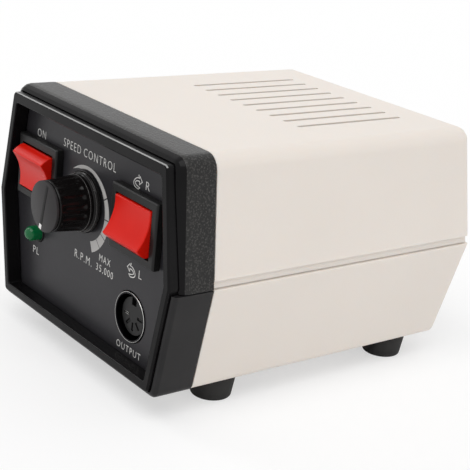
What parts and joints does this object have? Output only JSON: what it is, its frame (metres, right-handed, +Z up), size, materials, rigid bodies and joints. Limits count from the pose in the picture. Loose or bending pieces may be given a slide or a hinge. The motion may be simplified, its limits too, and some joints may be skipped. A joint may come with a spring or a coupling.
{
  "type": "dental lab micromotor control box",
  "caption": "Two-part case with a framed front panel that switches a hand motor on, sets its speed and reverses it, fed at the rear.",
  "frame": {"origin": "on the plane the feet stand on, below the middle of the outside box", "axes": "+X to the right of someone facing the front panel, +Y to the rear, +Z up"},
  "size_m": [0.103, 0.1332, 0.0814],
  "materials": {
    "beige_abs": "fine satin grain",
    "black_abs": "grained above, satin below",
    "panel_grey": "satin, screen printed",
    "red_nylon": "moulded gloss",
    "black_nylon": "moulded satin",
    "knob_grey": "satin",
    "green_lens": "translucent tinted",
    "rubber": "moulded",
    "nickel": "nickel plated",
    "zinc_steel": "zinc plated",
    "core_steel": "varnished laminations",
    "winding_tape": "taped winding",
    "natural_nylon": "natural nylon",
    "board_green": "lacquered board",
    "aluminium": "extruded",
    "sleeve_blue": "shrunk sleeve",
    "glass": "clear"
  },
  "bodies": {
    "control_box": {"upper_cover": "beige_abs", "lower_cover": "beige_abs", "front_frame_upper": "black_abs", "front_frame_lower": "black_abs", "front_bezel": "black_abs", "rear_panel": "black_abs", "front_panel": "panel_grey", "power_switch_housing": "black_nylon", "direction_switch_housing": "black_nylon", "output_socket_insulator": "black_nylon", "pilot_lamp_holder": "black_nylon", "mains_inlet": "black_nylon", "fuse_holder": "black_nylon", "fuse_holder_nut": "black_nylon", "foot_jack": "black_nylon", "voltage_selector_body": "black_nylon", "transistor_front": "black_nylon", "transistor_rear": "black_nylon", "bridge_rectifier": "black_nylon", "pilot_lamp": "green_lens", "foot_front_left": "rubber", "foot_front_right": "rubber", "foot_rear_left": "rubber", "foot_rear_right": "rubber", "output_socket_shell": "nickel", "potentiometer_nut": "nickel", "foot_jack_nut": "nickel", "case_screw_front_left": "zinc_steel", "case_screw_front_right": "zinc_steel", "case_screw_rear_left": "zinc_steel", "case_screw_rear_right": "zinc_steel", "foot_screw_front_left": "zinc_steel", "foot_screw_front_right": "zinc_steel", "foot_screw_rear_left": "zinc_steel", "foot_screw_rear_right": "zinc_steel", "transformer_screw_front": "zinc_steel", "transformer_screw_rear": "zinc_steel", "board_screw_front": "zinc_steel", "board_screw_rear": "zinc_steel", "output_socket_screw_left": "zinc_steel", "output_socket_screw_right": "zinc_steel", "potentiometer": "zinc_steel", "transformer_bracket": "zinc_steel", "transformer_core": "core_steel", "transformer_winding": "winding_tape", "transformer_bobbin": "natural_nylon", "circuit_board": "board_green", "heat_sink": "aluminium", "smoothing_capacitor": "sleeve_blue"},
    "power_rocker": {"power_rocker": "red_nylon"},
    "direction_rocker": {"direction_rocker": "red_nylon"},
    "speed_knob": {"speed_knob": "black_nylon", "knob_cap": "knob_grey", "knob_pointer": "black_nylon", "knob_shaft": "zinc_steel"},
    "fuse_cap": {"fuse_cap": "black_nylon", "fuse": "glass"},
    "voltage_selector_slider": {"voltage_selector_slider": "red_nylon"}
  },
  "joints": [
    {"name": "power_rocker_tilt", "type": "hinge", "parent": "control_box", "child": "power_rocker", "pos_m": [-0.03103, -0.0525, 0.0551], "axis": [1, 0, 0], "range_deg": [-30, 0]},
    {"name": "direction_rocker_tilt", "type": "hinge", "parent": "control_box", "child": "direction_rocker", "pos_m": [0.02571, -0.0525, 0.0552], "axis": [1, 0, 0], "range_deg": [0, 36]},
    {"name": "speed_knob_turn", "type": "hinge", "parent": "control_box", "child": "speed_knob", "pos_m": [-0.0041, -0.0514, 0.053], "axis": [0, 1, 0], "range_deg": [0, 300]},
    {"name": "fuse_cap_turn", "type": "hinge", "parent": "control_box", "child": "fuse_cap", "pos_m": [0.0185, 0.0613, 0.058], "axis": [0, 1, 0], "range_deg": [0, 60]},
    {"name": "voltage_selector_slide", "type": "slide", "parent": "control_box", "child": "voltage_selector_slider", "axis": [1, 0, 0], "range_m": [0, 0.0064]}
  ]
}
